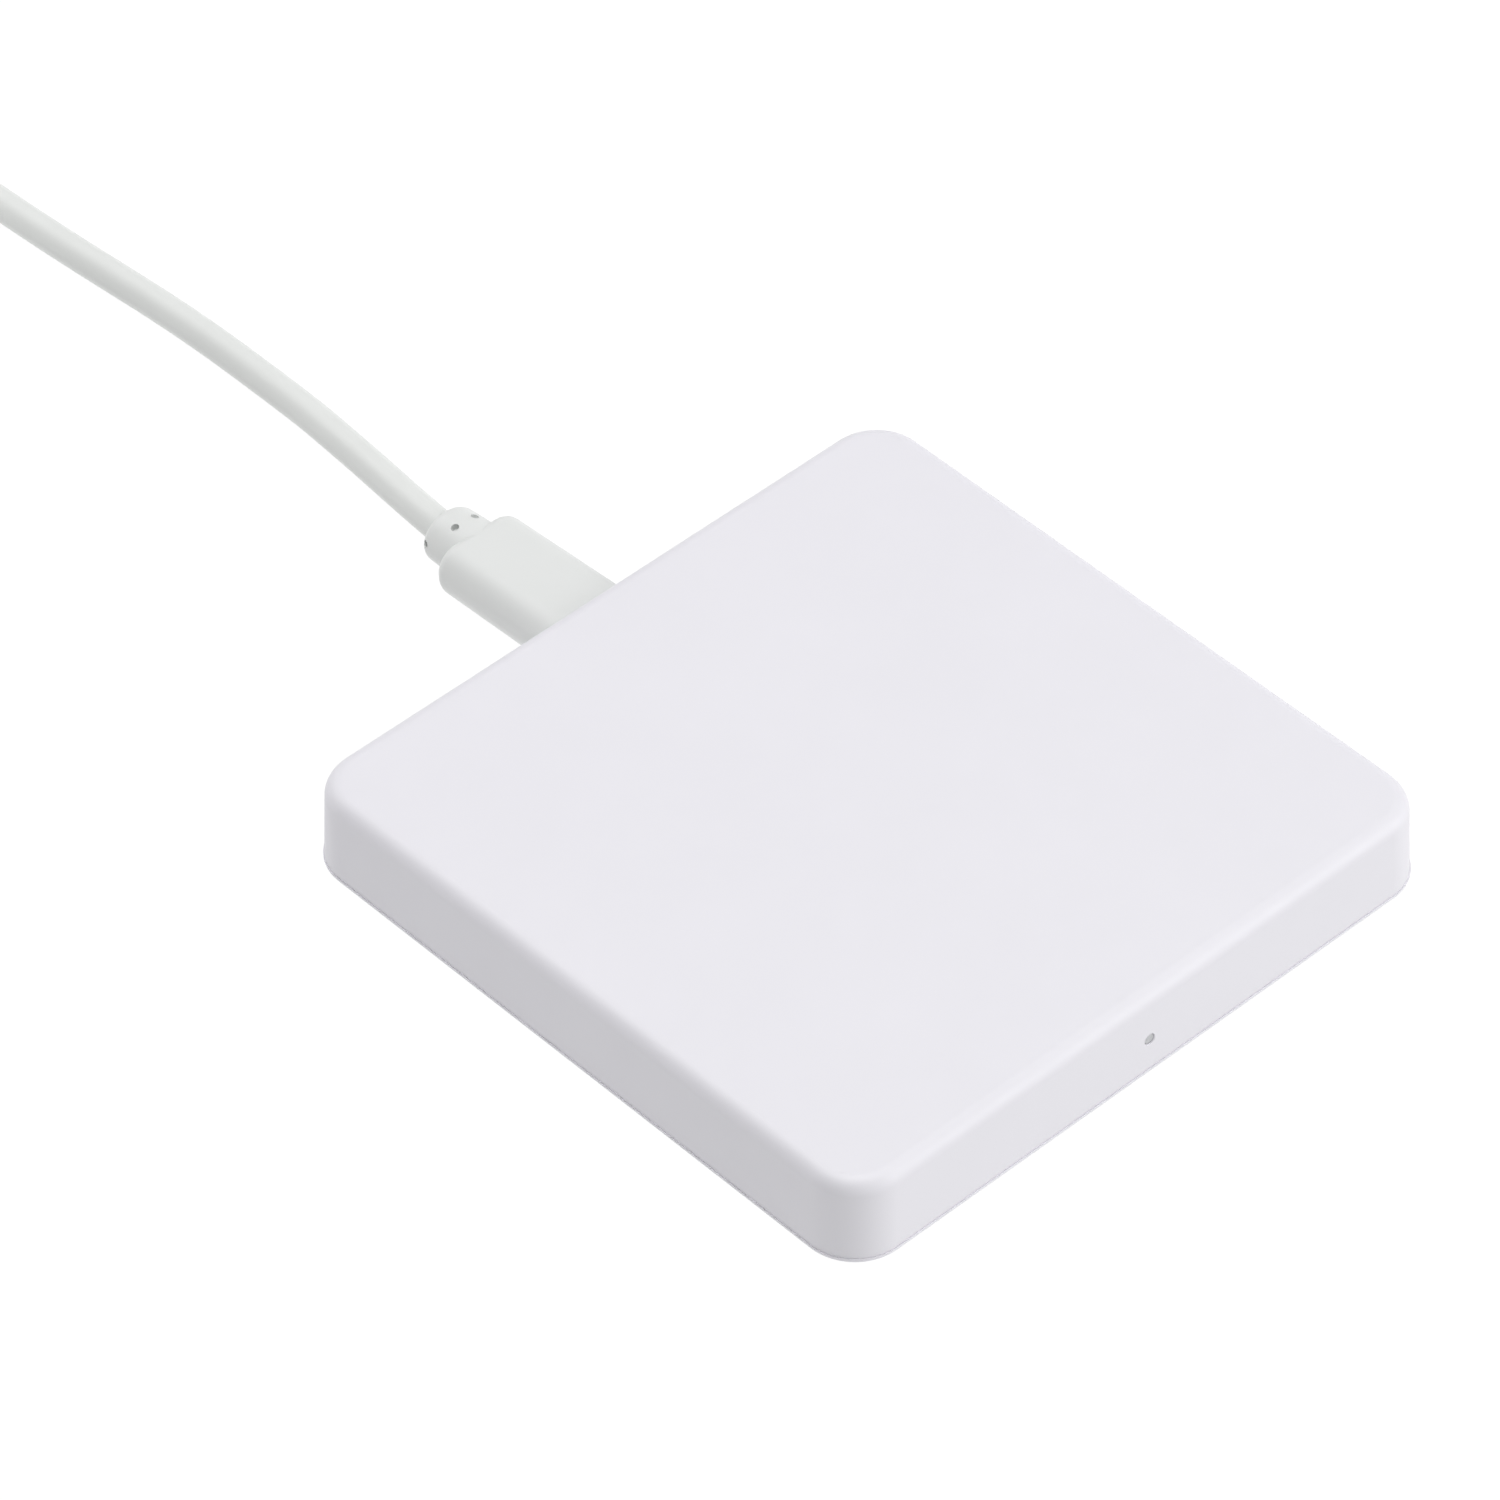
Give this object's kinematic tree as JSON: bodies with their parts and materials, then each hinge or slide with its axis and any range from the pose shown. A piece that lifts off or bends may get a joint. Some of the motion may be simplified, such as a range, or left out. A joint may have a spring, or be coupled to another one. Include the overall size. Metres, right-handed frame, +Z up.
{
  "type": "wireless charging pad",
  "caption": "Flat square phone charging pad with rounded corners, a small status light in its front edge and a detachable USB cable in its back.",
  "frame": {"origin": "centre of the pad's footprint, on the table", "axes": "+Z up, -Y towards the front wall with the status light, +Y towards the cable"},
  "size_m": [0.1019, 0.2279, 0.011],
  "materials": {
    "case_plastic": "white, fine satin grain",
    "plug_plastic": "white, smooth satin",
    "cable_jacket": "white, soft satin PVC",
    "foot_rubber": "pale grey, matte",
    "screw_steel": "zinc plated",
    "steel_shell": "nickel plated, bright",
    "contact_carrier": "black, smooth",
    "usb_a_carrier": "white, smooth",
    "board_laminate": "green solder mask",
    "chip_resin": "black moulding resin",
    "capacitor_ceramic": "tan ceramic with tinned ends",
    "choke_core": "dark grey pressed core",
    "led_lens": "pale yellow, clear",
    "clear_plastic": "clear moulding, lightly frosted",
    "litz_copper": "varnished copper strands",
    "adhesive_tape": "pale double-sided tape",
    "ferrite": "dark grey sintered sheet",
    "sensor_bead": "black epoxy bead",
    "sensor_wire": "red enamelled wire",
    "tie_band": "pale grey woven band"
  },
  "bodies": {
    "pad": {"base_cover": "case_plastic", "case_screw_back_left": "screw_steel", "case_screw_back_right": "screw_steel", "case_screw_front_left": "screw_steel", "case_screw_front_right": "screw_steel", "charger_chip": "chip_resin", "coil_lead_inner": "litz_copper", "coil_lead_outer": "litz_copper", "coil_tape": "adhesive_tape", "ferrite_sheet": "ferrite", "foot_back_left": "foot_rubber", "foot_back_right": "foot_rubber", "foot_front_left": "foot_rubber", "foot_front_right": "foot_rubber", "input_capacitor_1": "capacitor_ceramic", "input_capacitor_2": "capacitor_ceramic", "input_choke": "choke_core", "light_pipe": "clear_plastic", "main_board": "board_laminate", "power_stage_1": "chip_resin", "power_stage_2": "chip_resin", "resonant_capacitor_1": "capacitor_ceramic", "resonant_capacitor_2": "capacitor_ceramic", "resonant_capacitor_3": "capacitor_ceramic", "resonant_capacitor_4": "capacitor_ceramic", "sense_resistor": "chip_resin", "sensor_wire_1": "sensor_wire", "sensor_wire_2": "sensor_wire", "status_led": "led_lens", "temperature_sensor": "sensor_bead", "top_cover": "case_plastic", "transmitter_coil": "litz_copper", "usb_socket_shell": "steel_shell", "usb_socket_tongue": "contact_carrier"},
    "cable": {"plug_shell": "steel_shell", "plug_insert": "contact_carrier", "plug_overmould": "plug_plastic", "strain_relief": "cable_jacket", "cord": "cable_jacket", "cord_coil": "cable_jacket", "cord_tail": "cable_jacket", "cable_tie": "tie_band", "usb_a_strain_relief": "cable_jacket", "usb_a_overmould": "plug_plastic", "usb_a_shell": "steel_shell", "usb_a_blade": "usb_a_carrier"}
  },
  "joints": [
    {"name": "plug_slide", "type": "slide", "parent": "pad", "child": "cable", "axis": [0, 1, 0], "range_m": [0, 0.012]}
  ]
}
